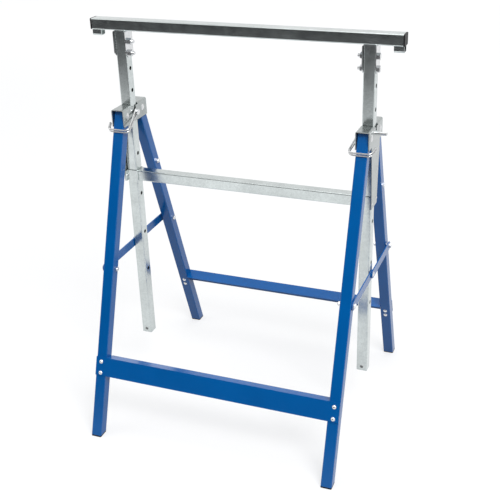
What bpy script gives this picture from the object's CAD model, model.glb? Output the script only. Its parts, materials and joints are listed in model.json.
import json
import math
import bpy
from mathutils import Matrix, Vector

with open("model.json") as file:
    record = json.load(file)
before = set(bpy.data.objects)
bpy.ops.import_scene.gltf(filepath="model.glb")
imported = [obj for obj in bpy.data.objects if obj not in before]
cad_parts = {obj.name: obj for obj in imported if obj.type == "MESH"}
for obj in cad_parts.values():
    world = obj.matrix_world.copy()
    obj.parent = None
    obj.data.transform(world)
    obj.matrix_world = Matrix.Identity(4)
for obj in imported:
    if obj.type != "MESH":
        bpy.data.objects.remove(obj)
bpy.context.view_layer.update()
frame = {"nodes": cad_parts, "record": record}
nodes = frame["nodes"]
scene = bpy.context.scene


# Materials: each is a principled shader with its colour, roughness and relief from noise.

NOISE_ROUGHNESS = 0.55
NOISE_LOW, NOISE_HIGH = 0.3, 0.7    # most of a noise lies between these two levels


def fill(node, **values):
    """Sets inputs of a node. An underscore in a name stands for a space."""
    for key, value in values.items():
        node.inputs[key.replace("_", " ")].default_value = value


def shade(colour, share):
    return [channel * share for channel in colour]


class Shader:
    """Lays out the node tree of one material."""

    def __init__(self, name):
        self.mat = bpy.data.materials.new(name)
        self.mat.use_nodes = True
        self.tree = self.mat.node_tree
        self.bsdf = self.tree.nodes["Principled BSDF"]
        self.coords = self.node("TexCoord").outputs["Object"]

    def node(self, kind, **values):
        node = self.tree.nodes.new("ShaderNode" + kind)
        fill(node, **values)
        return node

    def link(self, a, b):
        self.tree.links.new(a, b)

    def noise(self, scale, detail=3.0):
        node = self.node("TexNoise", Scale=scale, Detail=detail, Roughness=NOISE_ROUGHNESS)
        self.link(self.coords, node.inputs["Vector"])
        return node.outputs["Fac"]

    def cells(self, scale):
        """A level that is random from cell to cell."""
        node = self.node("TexVoronoi", Scale=scale)
        self.link(self.coords, node.inputs["Vector"])
        split = self.node("SeparateColor")
        self.link(node.outputs["Color"], split.inputs["Color"])
        return split.outputs["Red"]

    def ramp(self, fac, stops):
        """Colours along fac, from a list of places and colours."""
        node = self.node("ValToRGB")
        band = node.color_ramp
        while len(band.elements) < len(stops):
            band.elements.new(0.5)    # gets its own place below
        for element, (place, colour) in zip(band.elements, stops):
            element.position = place
            element.color = (*colour, 1.0)
        self.link(fac, node.inputs["Fac"])
        return node.outputs["Color"]

    def clouds(self, dark, light, scale, detail):
        return self.ramp(self.noise(scale, detail), [(NOISE_LOW, dark), (NOISE_HIGH, light)])

    def spread(self, fac, low, high, start=0.0, end=1.0):
        """Moves fac from the range start to end into the range low to high."""
        node = self.node("MapRange", From_Min=start, From_Max=end, To_Min=low, To_Max=high)
        self.link(fac, node.inputs["Value"])
        return node.outputs["Result"]

    def mix(self, share, a, b):
        node = self.node("Mix")
        node.data_type = "RGBA"
        node.inputs["Factor"].default_value = share
        self.link(a, node.inputs["A"])
        self.link(b, node.inputs["B"])
        return node.outputs["Result"]

    def relief(self, fac, strength, distance):
        node = self.node("Bump", Strength=strength, Distance=distance)
        self.link(fac, node.inputs["Height"])
        self.link(node.outputs["Normal"], self.bsdf.inputs["Normal"])

    def colour(self, socket):
        self.link(socket, self.bsdf.inputs["Base Color"])

    def roughness(self, socket):
        self.link(socket, self.bsdf.inputs["Roughness"])


def galvanised(name, dark, light, rough):
    """Galvanised steel: cloudy zinc with small spangles."""
    spangle_share, rough_spread = 0.35, 0.06
    s = Shader(name)
    fill(s.bsdf, Metallic=1.0)
    cloud = s.clouds(dark, light, scale=14.0, detail=5.0)
    spangle = s.ramp(s.cells(scale=240.0), [(0.0, dark), (1.0, light)])
    s.colour(s.mix(spangle_share, cloud, spangle))
    s.roughness(s.spread(s.noise(scale=60.0), rough - rough_spread, rough + rough_spread))
    s.relief(s.noise(scale=320.0, detail=2.0), strength=0.06, distance=0.0006)
    return s.mat


def zinc(name, base, rough):
    """Zinc plate on fasteners and wire, finely worn."""
    worn_share, smoother, rougher = 0.86, 0.05, 0.07
    s = Shader(name)
    fill(s.bsdf, Metallic=1.0)
    s.colour(s.clouds(shade(base, worn_share), base, scale=180.0, detail=4.0))
    s.roughness(s.spread(s.noise(scale=300.0), rough - smoother, rough + rougher))
    s.relief(s.noise(scale=900.0, detail=2.0), strength=0.08, distance=0.0003)
    return s.mat


def enamel(name, base):
    """Glossy enamel with a faint orange peel and slow shifts of tone."""
    deep_share = 0.88
    s = Shader(name)
    fill(s.bsdf, Specular_IOR_Level=0.36)
    s.colour(s.clouds(shade(base, deep_share), base, scale=9.0, detail=4.0))
    s.roughness(s.spread(s.noise(scale=45.0), low=0.16, high=0.24))
    s.relief(s.noise(scale=420.0, detail=1.0), strength=0.05, distance=0.0005)
    return s.mat


def plastic(name, base):
    """Moulded plastic with a fine grain."""
    deep_share = 0.7
    s = Shader(name)
    fill(s.bsdf, Specular_IOR_Level=0.2)
    s.colour(s.clouds(shade(base, deep_share), base, scale=120.0, detail=3.0))
    s.roughness(s.spread(s.noise(scale=200.0), low=0.42, high=0.58))
    s.relief(s.noise(scale=1500.0, detail=2.0), strength=0.12, distance=0.0002)
    return s.mat


MATERIALS = {
    "galvanised": galvanised("galvanised steel", dark=(0.48, 0.516, 0.514),
                             light=(0.652, 0.70, 0.696), rough=0.20),
    "zinc": zinc("zinc plate", base=(0.74, 0.75, 0.76), rough=0.17),
    "blue_paint": enamel("blue enamel", base=(0.0, 0.104, 0.365)),
    "black_plastic": plastic("black plastic", base=(0.016, 0.016, 0.017)),
}

# Nodes that show darker in the photo than the rest of their slot
SHEET = galvanised("folded sheet", dark=(0.33, 0.354, 0.352), light=(0.45, 0.483, 0.48), rough=0.26)
WIRE = zinc("spring wire", base=(0.56, 0.565, 0.57), rough=0.14)
OWN = {
    "post_stops": galvanised("dull pressed steel", dark=(0.16, 0.165, 0.165),
                             light=(0.24, 0.245, 0.245), rough=0.45),
    "left_head_cap": SHEET,
    "right_head_cap": SHEET,
    "left_bail": WIRE,
    "right_bail": WIRE,
}

slots = {subpart["node"]: subpart["material_slot"] for subpart in frame["record"]["subparts"]}
for name, obj in nodes.items():
    obj.data.materials.clear()
    obj.data.materials.append(OWN.get(name) or MATERIALS[slots[name]])


# Floor, flags and light, in metres and watts

WHITE = (1, 1, 1, 1)
FLAT, UPRIGHT = (0, 0, 0), (math.radians(90), 0, 0)
PLANE = 1.0    # the side of a sheet before it is scaled

FLAG_BACK, FLAG_LENGTH, FLAG_LIFT = -1.8, 6.0, 0.002
TALL_FLAG_Y, TALL_FLAG_Z, TALL_FLAG_HEIGHT = -6.5, 1.5, 3.4
PALE = (0.86, 0.86, 0.86)
DUSK = (0.15, 0.15, 0.15)
DARK = (0.02, 0.02, 0.022)
FLAG_SHARES = [(0.0, DARK), (0.70, DARK), (0.84, DUSK), (1.0, PALE)]
TALL_FLAG_SHARES = [(0.0, DARK), (1.0, DARK)]

FLOOR_FRONT, FLOOR_BACK, FLOOR_WIDTH = -8.0, 7.0, 14.0
FLOOR_TONE = (0.34, 0.34, 0.34)
FLOOR_PALER_SHARE = 1.04
# The glow that brings the lit floor to white, at places along Y. Near the object it leaves room for the
# shadow. Under the lying flag, where no light falls, it is all the white there is.
FLOOR_GLOW = [(FLOOR_FRONT, 1.0), (FLAG_BACK, 1.0), (-0.92, 0.62), (0.31, 0.62),
              (1.9, 0.68), (3.04, 0.735), (FLOOR_BACK, 0.80)]

LAMPS = {
    "key": {"place": (2.0, -2.0, 3.4), "aim": (0, 0, 0.4), "size": (2.0, 1.4), "power": 108.0},
    "fill": {"place": (-2.6, -1.0, 2.6), "aim": (0, 0, 0.5), "size": (2.0, 2.0), "power": 16.0},
    "top": {"place": (0.3, 0.4, 3.6), "aim": (0, 0, 0.4), "size": (2.6, 2.0), "power": 28.0},
}
SKY_TINT, SKY_STRENGTH = (0.95, 0.97, 1.0, 1), 0.68


def white_rays(tree):
    """1 for a ray that is to find the white background: from the camera, metal or glass. Otherwise 0."""
    rays = tree.nodes.new("ShaderNodeLightPath")
    white = rays.outputs["Is Camera Ray"]
    for kind in ("Is Glossy Ray", "Is Transmission Ray"):
        either = tree.nodes.new("ShaderNodeMath")
        either.operation = "MAXIMUM"
        tree.links.new(white, either.inputs[0])
        tree.links.new(rays.outputs[kind], either.inputs[1])
        white = either.outputs["Value"]
    return white


def sheet(name, centre, size, turn):
    """A matt sheet of the studio, its shader, and the place along the sheet's Y, from 0 to 1."""
    bpy.ops.mesh.primitive_plane_add(size=PLANE, location=centre, rotation=turn)
    obj = bpy.context.object
    obj.name = name
    obj.scale = (*size, 1.0)
    s = Shader(name)
    fill(s.bsdf, Specular_IOR_Level=0.0, Roughness=0.9)
    split = s.node("SeparateXYZ")
    s.link(s.coords, split.inputs["Vector"])
    obj.data.materials.append(s.mat)
    return obj, s, s.spread(split.outputs["Y"], low=0.0, high=1.0, start=-PLANE / 2, end=PLANE / 2)


def white_floor():
    """The floor: lit and shaded as a mid grey, and lifted to white where it is looked at."""
    length = FLOOR_BACK - FLOOR_FRONT
    centre = (0, (FLOOR_FRONT + FLOOR_BACK) / 2, 0)
    _, s, along = sheet("floor", centre, (FLOOR_WIDTH, length), FLAT)
    fill(s.bsdf, Emission_Color=WHITE)
    s.colour(s.clouds(FLOOR_TONE, shade(FLOOR_TONE, FLOOR_PALER_SHARE), scale=3.0, detail=2.0))
    glow = s.ramp(along, [((y - FLOOR_FRONT) / length, (level, level, level)) for y, level in FLOOR_GLOW])
    lift = s.node("Math")
    lift.operation = "MULTIPLY"
    s.link(white_rays(s.tree), lift.inputs[0])
    s.link(glow, lift.inputs[1])
    s.link(lift.outputs["Value"], s.bsdf.inputs["Emission Strength"])


def flag(name, centre, size, turn, shares):
    """A dark flag in front of the object, for the steel to mirror. The camera doesn't see it."""
    obj, s, along = sheet(name, centre, size, turn)
    s.colour(s.ramp(along, shares))
    obj.visible_camera = False


def area(name, place, aim, size, power):
    """A soft rectangular lamp at place, facing aim."""
    data = bpy.data.lights.new(name, "AREA")
    data.shape = "RECTANGLE"
    data.size, data.size_y = size
    data.energy = power
    lamp = bpy.data.objects.new(name, data)
    lamp.location = place
    lamp.rotation_euler = (Vector(aim) - Vector(place)).to_track_quat("-Z", "Y").to_euler()
    scene.collection.objects.link(lamp)


def sky():
    """The world: a dim pale light, and plain white where it is looked at."""
    world = bpy.data.worlds.new("studio")
    scene.world = world
    world.use_nodes = True
    tree = world.node_tree
    tree.nodes.clear()
    out = tree.nodes.new("ShaderNodeOutputWorld")
    seen = tree.nodes.new("ShaderNodeBackground")
    fill(seen, Color=WHITE, Strength=1.0)
    lit = tree.nodes.new("ShaderNodeBackground")
    fill(lit, Color=SKY_TINT, Strength=SKY_STRENGTH)
    pick = tree.nodes.new("ShaderNodeMixShader")
    tree.links.new(white_rays(tree), pick.inputs["Fac"])
    tree.links.new(lit.outputs["Background"], pick.inputs[1])
    tree.links.new(seen.outputs["Background"], pick.inputs[2])
    tree.links.new(pick.outputs["Shader"], out.inputs["Surface"])


white_floor()
flag("front flag", (0, FLAG_BACK - FLAG_LENGTH / 2, FLAG_LIFT), (FLOOR_WIDTH, FLAG_LENGTH), FLAT, FLAG_SHARES)
flag("tall flag", (0, TALL_FLAG_Y, TALL_FLAG_Z), (FLOOR_WIDTH, TALL_FLAG_HEIGHT), UPRIGHT, TALL_FLAG_SHARES)
for name, lamp in LAMPS.items():
    area(name, **lamp)
sky()


# The photographer's camera, solved from the photo: angles in radians, place in metres, focal length in pixels

YAW, PITCH, ROLL = 0.384, 0.452, -0.035
PLACE = Vector((0.720565, -1.772079, 1.31658))
FOCAL_PX, FRAME_PX, SENSOR = 913.848, 500.0, 36.0

right = Vector((math.cos(YAW), math.sin(YAW), 0))
ahead = Vector((-math.sin(YAW), math.cos(YAW), 0))
up = Vector((0, 0, 1))
forward = math.cos(PITCH) * ahead - math.sin(PITCH) * up
upward = math.sin(PITCH) * ahead + math.cos(PITCH) * up
cam_x = math.cos(ROLL) * right + math.sin(ROLL) * upward
cam_y = -math.sin(ROLL) * right + math.cos(ROLL) * upward
camera = bpy.data.cameras.new("camera")
camera.sensor_width = SENSOR
camera.lens = FOCAL_PX / FRAME_PX * SENSOR
cam = bpy.data.objects.new("camera", camera)
scene.collection.objects.link(cam)
turn = Matrix((cam_x, cam_y, -forward)).transposed().to_4x4()
cam.matrix_world = Matrix.Translation(PLACE) @ turn
scene.camera = cam

scene.view_settings.view_transform = "Standard"
